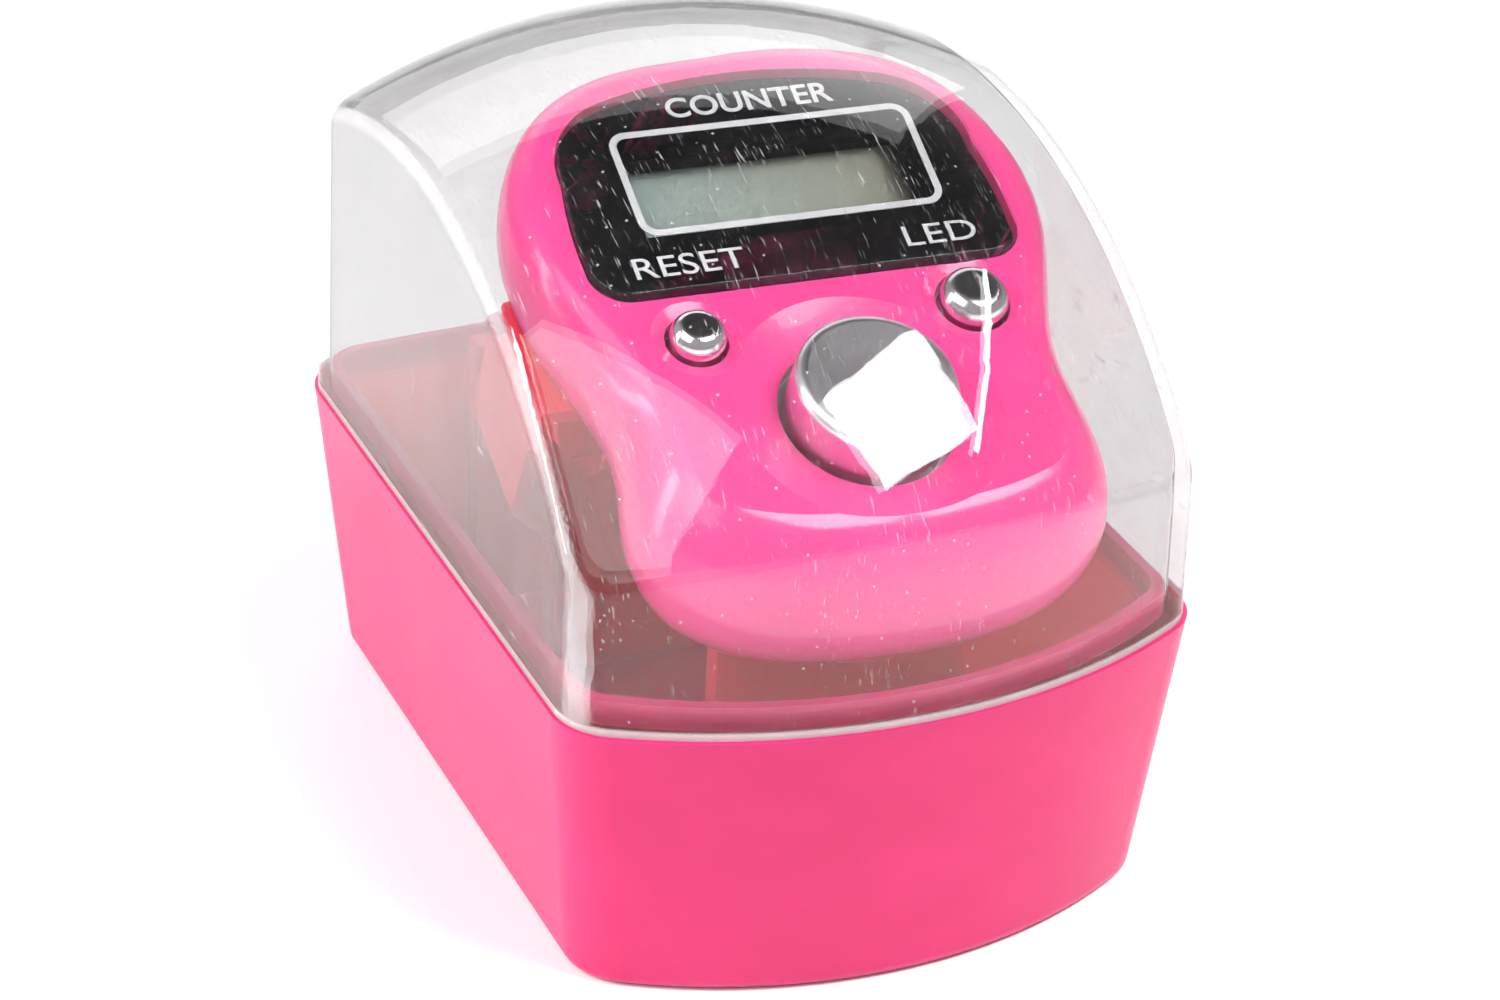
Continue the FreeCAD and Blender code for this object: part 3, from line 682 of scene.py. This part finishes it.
@dataclass(frozen=True)
class DisplayBack:
    """Reflector of the display: grey-green, browner on the right, with a painted shadow over its top band and
    right end.

    Args:
        name: Name of the finish.
        left: Colour at the left end.
        right: Colour at the right end.
        dark: Colour of the painted shadow, outside the lit part.
        top: Height in millimetres up the display where the painted shadow band starts.
        end: Distance in millimetres across the display where the painted shadow at the right end starts.
        top_fade: How far the painted shadow band takes to reach its full strength.
        end_fade: How far the painted shadow at the right end takes.
    """

    name: str
    left: Colour
    right: Colour
    dark: Colour
    top: float = 3.3
    end: float = 7.5
    top_fade: float = 0.45
    end_fade: float = 1.5

    def build(self, effects: Effects) -> bpy.types.Material:
        """Make the material, laid out in the counter's own frame."""
        canvas = Canvas(self.name)
        matrix = CounterFrame().matrix()
        place = canvas.nodes.new("ShaderNodeTexCoord")
        mapping = canvas.nodes.new("ShaderNodeMapping")
        mapping.vector_type = "TEXTURE"
        mapping.inputs["Location"].default_value = matrix.translation
        mapping.inputs["Rotation"].default_value = matrix.to_euler()
        mapping.inputs["Scale"].default_value = (MM, MM, MM)
        canvas.links.new(place.outputs["Object"], mapping.inputs["Vector"])
        split = canvas.nodes.new("ShaderNodeSeparateXYZ")
        canvas.links.new(mapping.outputs["Vector"], split.inputs[0])
        across = canvas.remap(split.outputs["X"], "From", LIT_BAND)
        lit = canvas.blend(across, self.left, self.right)
        # Painted shadow that the rim of the window casts over the top band and the right end of the display.
        painted_shadow_mask = canvas.greater(
            canvas.remap(split.outputs["Y"], "From", (self.top, self.top + self.top_fade)),
            canvas.remap(split.outputs["X"], "From", (self.end, self.end + self.end_fade)),
        )
        canvas.drive("Base Color", canvas.blend(painted_shadow_mask, lit, self.dark))
        canvas.set(Roughness=0.45, IOR=1.45)
        grain = canvas.effect(effects.grain, Grain_Scale=DISPLAY_GRAIN)
        canvas.bump(grain.outputs["Grain"], 0.1, DISPLAY_GRAIN_DEPTH)
        return canvas.material


@dataclass(frozen=True)
class Metal:
    """Bright metal with fine scratches and a little tarnish.

    Args:
        name: Name of the finish.
        bright: Colour of the clean metal.
        dull: Colour where it is tarnished.
        roughness: Roughness of the clean metal.
        scratches: Density of the scratches.
    """

    name: str
    bright: Colour
    dull: Colour
    roughness: float
    scratches: float

    def build(self, effects: Effects) -> bpy.types.Material:
        """Make the material from the shared effects."""
        canvas = Canvas(self.name)
        canvas.set(Metallic=1.0)
        lines = canvas.effect(effects.scratches, Density=self.scratches)
        dust = canvas.effect(effects.dust, Speck_Amount=0.4, Haze_Amount=1.0)
        canvas.drive("Base Color", canvas.blend(dust.outputs["Haze"], self.bright, self.dull))
        canvas.roughen(dust.outputs["Haze"], self.roughness, HAZE_BLUR)
        canvas.bump(lines.outputs["Scratches"], 0.5, SCRATCH_DEPTH)
        return canvas.material


FINISH_LIST = (
    # The tray's inner colour is painted bounce light on its inner walls.
    MouldedPlastic(
        "tray_pink", tint(0.58, 0.008, 0.12), tint(0.63, 0.011, 0.14), 0.36,
        grain=0.22, scatter=0.5, sheen=0.16, bend=1.42, inner=tint(1.0, 0.045, 0.15),
    ),
    # A brighter pink than the tray's: painted bounce light on the parts inside the case.
    MouldedPlastic(
        "inner_pink", tint(1.0, 0.04, 0.13), tint(1.0, 0.06, 0.17), 0.4, grain=0.2, scatter=0.3
    ),
    MouldedPlastic(
        "shell_pink", tint(0.82, 0.055, 0.25), tint(0.88, 0.068, 0.29), 0.16,
        coat=0.3, grain=0.03, scatter=0.12, bend=1.42,
    ),
    MouldedPlastic(
        "strap_rubber", tint(0.80, 0.01, 0.05), tint(0.88, 0.015, 0.07), 0.7,
        grain=0.5, scatter=0.3, sheen=0.2, bend=1.3,
    ),
    MouldedPlastic(
        "inner_white", tint(0.74, 0.74, 0.71), tint(0.8, 0.8, 0.78), 0.4, grain=0.2
    ),
    MouldedPlastic(
        "black_print", tint(0.003, 0.003, 0.004), tint(0.005, 0.005, 0.007), 0.5,
        grain=0.02, scatter=0.0, bend=1.1,
    ),
    MouldedPlastic(
        "connector_rubber", tint(0.012, 0.012, 0.012), tint(0.03, 0.03, 0.03), 0.6,
        grain=0.3, scatter=0.0,
    ),
    MouldedPlastic(
        "board", tint(0.008, 0.07, 0.025), tint(0.012, 0.11, 0.04), 0.3,
        coat=0.3, grain=0.2, scatter=0.0,
    ),
    MouldedPlastic("resin", tint(0.01, 0.01, 0.01), tint(0.02, 0.02, 0.02), 0.15, scatter=0.0),
    MouldedPlastic(
        "small_parts", tint(0.35, 0.25, 0.14), tint(0.45, 0.33, 0.2), 0.4, grain=0.2, scatter=0.0
    ),
    MouldedPlastic(
        "light_ink", tint(0.62, 0.62, 0.64), tint(0.78, 0.78, 0.8), 0.35, grain=0.3, scatter=0.0
    ),
    # The third colour is painted shadow over the display's top band and right end.
    DisplayBack(
        "display_back", tint(0.56, 0.70, 0.66), tint(0.52, 0.51, 0.41), tint(0.02, 0.015, 0.018)
    ),
    # In each clear finish, the second colour is painted shade on the sides and back.
    ClearPlastic(
        "clear_plastic", tint(0.97, 0.97, 0.975), tint(0.60, 0.60, 0.605), 0.0,
        scratches=0.6, haze=1.0, bend=1.03,
    ),
    ClearPlastic(
        "clear_window", tint(0.99, 0.99, 0.99), tint(0.97, 0.97, 0.97), 0.0,
        scratches=0.5, haze=0.3, bend=1.001,
    ),
    ClearPlastic(
        "display_glass", tint(0.98, 0.99, 0.98), tint(0.96, 0.97, 0.96), 0.0,
        scratches=0.0, haze=0.1, bend=1.001,
    ),
    # Film with a painted highlight on the cover's rounded edges and a painted reflection over its sides and back,
    # with dust, scratches and a whiter foot.
    DustAndGlareFilm(
        "cover_film", tint(0.86, 0.85, 0.86), edge=0.26, veil=0.05, foot=0.45, foot_level=17.75
    ),
    Metal("brushed_cap", tint(0.86, 0.86, 0.88), tint(0.74, 0.74, 0.76), 0.27, scratches=1.0),
    Metal("chrome_cap", tint(0.80, 0.80, 0.82), tint(0.66, 0.66, 0.68), 0.12, scratches=0.8),
    Metal("steel", tint(0.68, 0.68, 0.69), tint(0.5, 0.5, 0.5), 0.25, scratches=0.6),
    Metal("gilt", tint(0.85, 0.62, 0.25), tint(0.7, 0.48, 0.18), 0.25, scratches=0.4),
)
FINISHES = {finish.name: finish for finish in FINISH_LIST}


class Paintbox:
    """Builds each finish the first time it is asked for."""

    def __init__(self) -> None:
        """Start with the shared effects and no materials."""
        self.effects = Effects()
        self.made: dict[str, bpy.types.Material] = {}

    def material(self, slot: str) -> bpy.types.Material:
        """Material of a record slot.

        Args:
            slot: Name of the slot.

        Returns:
            The material, built once.
        """
        if slot not in self.made:
            self.made[slot] = FINISHES[slot].build(self.effects)
        return self.made[slot]

    def dress(self, piece: bpy.types.Object, slot: str) -> None:
        """Give a piece the finish of a slot and nothing else."""
        piece.data.materials.clear()
        piece.data.materials.append(self.material(slot))


# --- pieces added to the frame -----------------------------------------------------------------

MERGE_DISTANCE = 0.001 * MM
LETTER_MERGE = 0.0001
CORNER_STEPS = 10
CREASE = math.radians(35.0)


def clear_selection() -> None:
    """Deselect every object."""
    bpy.ops.object.select_all(action="DESELECT")


def apply_modifier(piece: bpy.types.Object, kind: str, **settings: object) -> None:
    """Add a modifier to a piece and apply it.

    Args:
        piece: The active object.
        kind: Blender's name of the modifier type.
        settings: Properties of the modifier.
    """
    modifier = piece.modifiers.new(kind.title(), kind)
    for key, value in settings.items():
        setattr(modifier, key, value)
    bpy.ops.object.modifier_apply(modifier=modifier.name)


def copy_node(node: str, name: str) -> bpy.types.Object:
    """Copy a node's mesh to a new piece, with its faces joined at their edges.

    Args:
        node: Name of the node.
        name: Name of the new piece.

    Returns:
        The new piece, active and with none of its faces selected.
    """
    clear_selection()
    piece = bpy.data.objects.new(name, frame["nodes"][node].data.copy())
    bpy.context.scene.collection.objects.link(piece)
    piece.select_set(True)
    bpy.context.view_layer.objects.active = piece
    bpy.ops.object.mode_set(mode="EDIT")
    bpy.ops.mesh.select_all(action="SELECT")
    bpy.ops.mesh.remove_doubles(threshold=MERGE_DISTANCE)
    bpy.ops.mesh.select_all(action="DESELECT")
    bpy.ops.object.mode_set(mode="OBJECT")
    return piece


def finish_piece(
    piece: bpy.types.Object, body: str, paints: Paintbox, finish: str
) -> None:
    """Paint a new piece and make it ride on its body.

    Args:
        piece: The finished mesh object.
        body: Body that it rides on.
        paints: Source of the materials.
        finish: Name of the finish.
    """
    paints.dress(piece, finish)
    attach(piece, body)
    log.info("built %s on %s", piece.name, body)


@dataclass(frozen=True)
class PrintedWord:
    """A word printed on the lens.

    Args:
        name: Name of the piece.
        text: The word.
        low: Lower left corner in millimetres in the counter's frame.
        high: Upper right corner.
        weight: How far the strokes are thickened, in millimetres.
    """

    name: str
    text: str
    low: tuple[float, float]
    high: tuple[float, float]
    weight: float = 0.0


@dataclass
class DisplayPrint:
    """Light print on the lens: the frame round the display and the words.

    Args:
        half_width: Half width of the frame's centre line in millimetres.
        half_height: Half height of the frame's centre line.
        middle: Height of the frame's middle up the counter.
        line: Width of the frame's line.
        corner: Radius of the frame's corners.
        level: Height of the ink's lower side over the lens.
        ink: Thickness of the ink.
        words: The printed words.
    """

    half_width: float = 8.86
    half_height: float = 3.54
    middle: float = 0.35
    line: float = 0.42
    corner: float = 0.9
    level: float = 0.01
    ink: float = 0.03
    words: tuple[PrintedWord, ...] = (
        PrintedWord("print_reset", "RESET", (-10.3, -6.25), (-3.8, -4.8)),
        PrintedWord("print_lamp", "LED", (5.7, -6.2), (10.0, -4.8)),
        PrintedWord("print_title", "COUNTER", (-5.0, 4.75), (5.0, 6.2), 0.035),
    )

    def build(self, paints: Paintbox) -> None:
        """Build the frame and every word."""
        place = CounterFrame().matrix() @ Matrix.Diagonal((MM, MM, MM, 1.0))
        self.build_frame(place, paints)
        for word in self.words:
            self.build_word(word, place, paints)

    def build_frame(self, place: Matrix, paints: Paintbox) -> None:
        """Rounded ring round the display.

        Args:
            place: Matrix from millimetres in the counter's frame to the row frame.
            paints: Source of the materials.
        """
        clear_selection()
        bpy.ops.mesh.primitive_plane_add(size=2.0, location=(0.0, 0.0, 0.0))
        ring = bpy.context.object
        ring.name = "print_frame"
        bpy.ops.object.mode_set(mode="EDIT")
        bpy.ops.mesh.select_all(action="SELECT")
        reach = (self.half_width + self.line / 2, self.half_height + self.line / 2, 1.0)
        bpy.ops.transform.resize(value=reach)
        rounding = self.corner + self.line / 2
        bpy.ops.mesh.bevel(offset=rounding, segments=CORNER_STEPS, affect="VERTICES")
        bpy.ops.mesh.inset(thickness=self.line)
        bpy.ops.mesh.delete(type="FACE")
        bpy.ops.object.mode_set(mode="OBJECT")
        apply_modifier(ring, "SOLIDIFY", thickness=self.ink, offset=1.0)
        ring.data.transform(place @ Matrix.Translation((0.0, self.middle, self.level)))
        finish_piece(ring, "case", paints, "light_ink")

    def build_word(self, word: PrintedWord, place: Matrix, paints: Paintbox) -> None:
        """One word, fitted between its corners.

        Args:
            word: The word.
            place: Matrix from millimetres in the counter's frame to the row frame.
            paints: Source of the materials.
        """
        clear_selection()
        bpy.ops.object.text_add(location=(0.0, 0.0, 0.0))
        piece = bpy.context.object
        piece.name = word.name
        piece.data.body = word.text
        piece.data.extrude = self.ink / 2
        piece.data.offset = word.weight / 2
        bpy.ops.object.convert(target="MESH")
        bpy.ops.object.mode_set(mode="EDIT")
        bpy.ops.mesh.select_all(action="SELECT")
        bpy.ops.mesh.remove_doubles(threshold=LETTER_MERGE)
        bpy.ops.mesh.normals_make_consistent(inside=False)
        bpy.ops.object.mode_set(mode="OBJECT")
        points = [vertex.co for vertex in piece.data.vertices]
        low = [min(point[axis] for point in points) for axis in range(2)]
        high = [max(point[axis] for point in points) for axis in range(2)]
        wide, tall = (
            (word.high[axis] - word.low[axis]) / (high[axis] - low[axis]) for axis in range(2)
        )
        fitted = Matrix.Diagonal((wide, tall, 1.0, 1.0))
        from_corner = Matrix.Translation((-low[0], -low[1], 0.0))
        to_corner = Matrix.Translation((*word.low, self.level + self.ink / 2))
        piece.data.transform(place @ to_corner @ fitted @ from_corner)
        finish_piece(piece, "case", paints, "light_ink")


@dataclass(frozen=True)
class SoftDomes:
    """Rubber domes under the buttons, copied from the model's domes, smoothed and riding on the case.

    Args:
        words: The first part of each button's name.
        spare: Room left over a flattened dome in metres; not used.
    """

    words: tuple[str, ...] = ("count", "reset", "lamp")
    spare: float = 0.05 * MM

    def build(self, paints: Paintbox) -> None:
        """Build every dome."""
        for word in self.words:
            self.build_dome(word, paints)

    def build_dome(self, word: str, paints: Paintbox) -> None:
        """One dome, copied from its node, smoothed and riding on the case.

        Args:
            word: First part of the button's name.
            paints: Source of the materials.
        """
        dome = copy_node(f"{word}_dome", f"{word}_rubber_dome")
        bpy.ops.object.mode_set(mode="EDIT")
        bpy.ops.mesh.select_all(action="SELECT")
        bpy.ops.mesh.quads_convert_to_tris()
        bpy.ops.mesh.subdivide(number_cuts=1)
        bpy.ops.object.mode_set(mode="OBJECT")
        bpy.ops.object.shade_smooth_by_angle(angle=CREASE)
        finish_piece(dome, "case", paints, "strap_rubber")
        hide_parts(f"{word}_dome")
        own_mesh(dome)


@dataclass
class CoverFilm:
    """Thin film on the outside of the clear cover, with dust, scratches and painted light.

    Args:
        gap: Distance from the cover in millimetres.
        thickness: Thickness of the film.
        outward_share: Cosine past which a face looks away from the cover's middle.
    """

    gap: float = 0.02
    thickness: float = 0.02
    outward_share: float = 0.1

    def build(self, paints: Paintbox) -> None:
        """Copy the cover's outer skin and give it a thickness."""
        film = copy_node("clear_cover", "cover_film")
        self.select_inner(film)
        bpy.ops.object.mode_set(mode="EDIT")
        bpy.ops.mesh.delete(type="FACE")
        bpy.ops.object.mode_set(mode="OBJECT")
        bpy.ops.object.shade_smooth_by_angle(angle=CREASE)
        lift = self.gap * MM
        apply_modifier(film, "DISPLACE", direction="NORMAL", strength=lift, mid_level=0.0)
        apply_modifier(film, "SOLIDIFY", thickness=self.thickness * MM, offset=1.0)
        finish_piece(film, "cover", paints, "cover_film")

    def select_inner(self, film: bpy.types.Object) -> None:
        """Select every face that doesn't look away from the middle of the cover's foot."""
        low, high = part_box("clear_cover")
        middle = Vector(((low[0] + high[0]) / 2, (low[1] + high[1]) / 2, low[2]))
        bpy.context.tool_settings.mesh_select_mode = (False, False, True)
        for polygon in film.data.polygons:
            reach = polygon.center - middle
            polygon.select = polygon.normal.dot(reach) <= self.outward_share * reach.length


# --- studio -------------------------------------------------------------------------------------


def heading(azimuth: float, elevation: float) -> Vector:
    """Direction in space.

    Args:
        azimuth: Degrees round the object, 0 in front and 90 on the right.
        elevation: Degrees above the horizon.

    Returns:
        The direction as a vector of length 1.
    """
    across = math.radians(azimuth)
    rise = math.radians(elevation)
    level = math.cos(rise)
    return Vector((math.sin(across) * level, -math.cos(across) * level, math.sin(rise)))


@dataclass(frozen=True)
class SoftBox:
    """A square or oblong studio light that faces the object.

    Args:
        name: Name of the light.
        azimuth: Direction round the object in degrees, 0 in front and 90 on the right.
        elevation: Height above the horizon in degrees.
        distance: Distance from the object's middle in metres.
        width: Width in metres.
        height: Height in metres.
        power: Power in watts.
        turn: Turn about the line to the object in degrees.
    """

    name: str
    azimuth: float
    elevation: float
    distance: float
    width: float
    height: float
    power: float
    turn: float = 0.0

    def build(self, aim: Vector) -> None:
        """Place the light so that it faces a point."""
        data = bpy.data.lights.new(self.name, "AREA")
        data.shape = "RECTANGLE"
        data.size = self.width
        data.size_y = self.height
        data.energy = self.power
        light = bpy.data.objects.new(self.name, data)
        bpy.context.scene.collection.objects.link(light)
        outward = heading(self.azimuth, self.elevation)
        light.location = aim + outward * self.distance
        facing = outward.to_track_quat("Z", "Y").to_matrix()
        turned = facing @ Matrix.Rotation(math.radians(self.turn), 3, "Z")
        light.rotation_euler = turned.to_euler()


FLOOR_SIZE = 4.0
SENSOR_WIDTH = 36.0
CLIP_START = 1.0 * MM
BEHIND = 180.0
WORLD_SOCKETS = ("From Min", "From Max", "To Min", "To Max")


@dataclass(frozen=True)
class Studio:
    """Pale floor, soft light and the camera.

    Args:
        yaw: Camera heading in degrees, positive to the left of +Y.
        pitch: Camera pitch in degrees.
        roll: Camera roll in degrees.
        eye: Camera place in metres.
        focal: Focal length in millimetres on a 36 mm wide sensor.
        dark_patch: Azimuth and elevation of the dark part of the ceiling, in degrees.
        patch_edge: Cosines of the angles from there where the dark part ends and is full.
        world_light: Brightness outside and inside the dark part.
        boxes: The studio lights.
    """

    yaw: float = -24.254
    pitch: float = -28.827
    roll: float = 2.295
    eye: tuple[float, float, float] = (-0.092333, -0.208076, 0.141597)
    focal: float = 106.108
    dark_patch: tuple[float, float] = (127.0, 64.0)
    patch_edge: tuple[float, float] = (0.6, 0.88)
    world_light: tuple[float, float] = (0.42, 0.02)
    boxes: tuple[SoftBox, ...] = (
        SoftBox("left_box", -105.0, 22.0, 0.5, 0.06, 0.42, 2.4),
        SoftBox("key_box", 43.0, 58.0, 0.5, 0.237, 0.158, 2.7, -15.0),
        SoftBox("back_box", 165.0, 28.0, 0.7, 0.7, 0.35, 1.2),
        SoftBox("fill_box", -66.0, 50.0, 0.6, 0.4, 0.4, 1.5),
        SoftBox("strip_box", 76.0, 46.0, 0.5, 0.3, 0.009, 0.3),
    )

    def build(self) -> None:
        """Build everything in the studio."""
        self.make_floor()
        self.make_world()
        low, high = cad_box
        for box in self.boxes:
            box.build((low + high) / 2)
        self.make_camera()

    def make_floor(self) -> None:
        """Pale floor plane under the object."""
        clear_selection()
        bpy.ops.mesh.primitive_plane_add(size=FLOOR_SIZE, location=(0.0, 0.0, 0.0))
        floor = bpy.context.object
        floor.name = "studio_floor"
        canvas = Canvas("studio_floor")
        canvas.set(Base_Color=tint(0.97, 0.97, 0.97), Roughness=0.6)
        floor.data.materials.append(canvas.material)

    def make_world(self) -> None:
        """Even pale surroundings with one dark patch."""
        world = bpy.data.worlds.new("studio")
        world.use_nodes = True
        nodes = world.node_tree.nodes
        background = nodes["Background"]
        background.inputs["Color"].default_value = tint(1.0, 1.0, 1.0)
        place = nodes.new("ShaderNodeTexCoord")
        toward = nodes.new("ShaderNodeVectorMath")
        toward.operation = "DOT_PRODUCT"
        toward.inputs[1].default_value = heading(*self.dark_patch)
        strength = nodes.new("ShaderNodeMapRange")
        for key, value in zip(WORLD_SOCKETS, self.patch_edge + self.world_light):
            strength.inputs[key].default_value = value
        links = world.node_tree.links
        links.new(place.outputs["Generated"], toward.inputs[0])
        links.new(toward.outputs["Value"], strength.inputs["Value"])
        links.new(strength.outputs["Result"], background.inputs["Strength"])
        bpy.context.scene.world = world
        bpy.context.scene.view_settings.view_transform = "Standard"

    def make_camera(self) -> None:
        """Place the camera."""
        roll = math.radians(self.roll)
        ahead = heading(BEHIND + self.yaw, self.pitch)
        right = ahead.cross(Vector((0.0, 0.0, 1.0))).normalized()
        up = right.cross(ahead)
        right_turned = right * math.cos(roll) + up * math.sin(roll)
        up_turned = up * math.cos(roll) - right * math.sin(roll)
        turned = Matrix((right_turned, up_turned, -ahead)).transposed().to_4x4()
        data = bpy.data.cameras.new("camera")
        data.sensor_width = SENSOR_WIDTH
        data.lens = self.focal
        data.clip_start = CLIP_START
        camera = bpy.data.objects.new("camera", data)
        bpy.context.scene.collection.objects.link(camera)
        camera.matrix_world = Matrix.Translation(Vector(self.eye)) @ turned
        bpy.context.scene.camera = camera


# The strap bridge and back stop get inner_pink, a brighter pink that paints bounce light inside the case.
OWN_FINISH = {"strap_bridge": "inner_pink", "back_stop": "inner_pink", "count_cap": "brushed_cap"}


def dress_nodes(paints: Paintbox) -> None:
    """Give every carried-over node its own finish or that of its record slot."""
    for entry in frame["record"]["subparts"]:
        finish = OWN_FINISH.get(entry["node"], entry["material_slot"])
        paints.dress(frame["nodes"][entry["node"]], finish)
        log.info("dressed %s as %s", entry["node"], finish)


def main() -> None:
    """Build the object's looks in order."""
    paints = Paintbox()
    dress_nodes(paints)
    DisplayPrint().build(paints)
    SoftDomes().build(paints)
    CoverFilm().build(paints)
    Studio().build()


if __name__ == "__main__":
    main()
